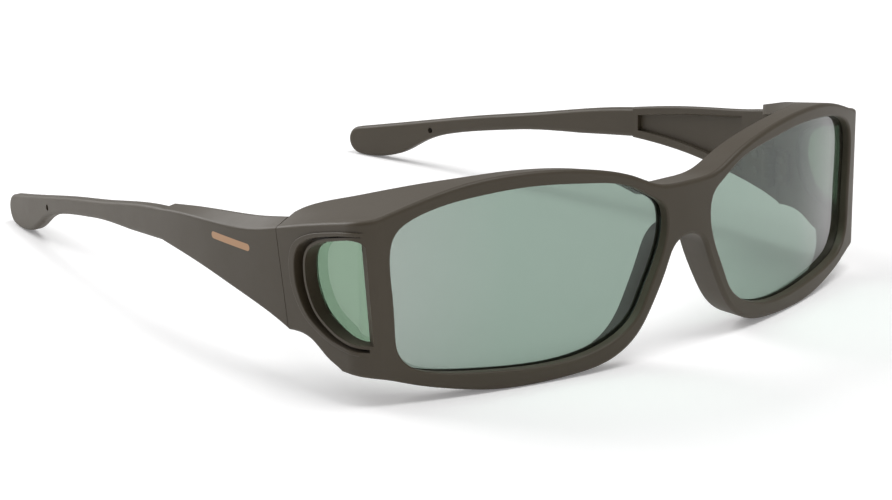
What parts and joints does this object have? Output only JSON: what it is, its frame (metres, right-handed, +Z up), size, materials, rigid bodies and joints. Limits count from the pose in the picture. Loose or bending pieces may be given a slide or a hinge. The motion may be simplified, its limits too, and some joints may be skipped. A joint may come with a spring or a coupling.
{
  "type": "fitover sunglasses",
  "caption": "Wraparound sunglasses that fit over other glasses, with tinted front and side lenses, a brow shelf and folding temples.",
  "frame": {"origin": "middle of the bounding box, on the surface that the rims and the temple tips rest on", "axes": "+Z up, the lenses face -Y, the temples run back along +Y, the wearer's left is +X"},
  "size_m": [0.1492, 0.1868, 0.0441],
  "materials": {
    "frame": "soft matte bronze brown, injection moulded nylon",
    "lens": "polished grey green polarised tint",
    "side_lens": "polished grey green tint",
    "core_wire": "drawn flat wire",
    "hinge_metal": "stamped nickel silver, plated dark bronze",
    "hinge_screw": "turned steel, plated dark bronze"
  },
  "bodies": {
    "front": {"front_frame": "frame", "left_lens": "lens", "left_side_lens": "side_lens", "left_hinge_front_leaf": "hinge_metal", "left_hinge_screw": "hinge_screw", "left_front_leaf_rivets": "hinge_screw", "right_lens": "lens", "right_side_lens": "side_lens", "right_hinge_front_leaf": "hinge_metal", "right_hinge_screw": "hinge_screw", "right_front_leaf_rivets": "hinge_screw"},
    "left_temple": {"left_temple_arm": "frame", "left_temple_tip": "frame", "left_tip_core": "core_wire", "left_hinge_temple_leaf": "hinge_metal", "left_temple_leaf_rivets": "hinge_screw"},
    "right_temple": {"right_temple_arm": "frame", "right_temple_tip": "frame", "right_tip_core": "core_wire", "right_hinge_temple_leaf": "hinge_metal", "right_temple_leaf_rivets": "hinge_screw"}
  },
  "joints": [
    {"name": "left_temple_fold", "type": "hinge", "parent": "front", "child": "left_temple", "pos_m": [0.06817, -0.05198, 0], "axis": [0, 0, 1], "range_deg": [0, 78]},
    {"name": "right_temple_fold", "type": "hinge", "parent": "front", "child": "right_temple", "pos_m": [-0.06817, -0.05198, 0], "axis": [0, 0, -1], "range_deg": [0, 86]}
  ]
}
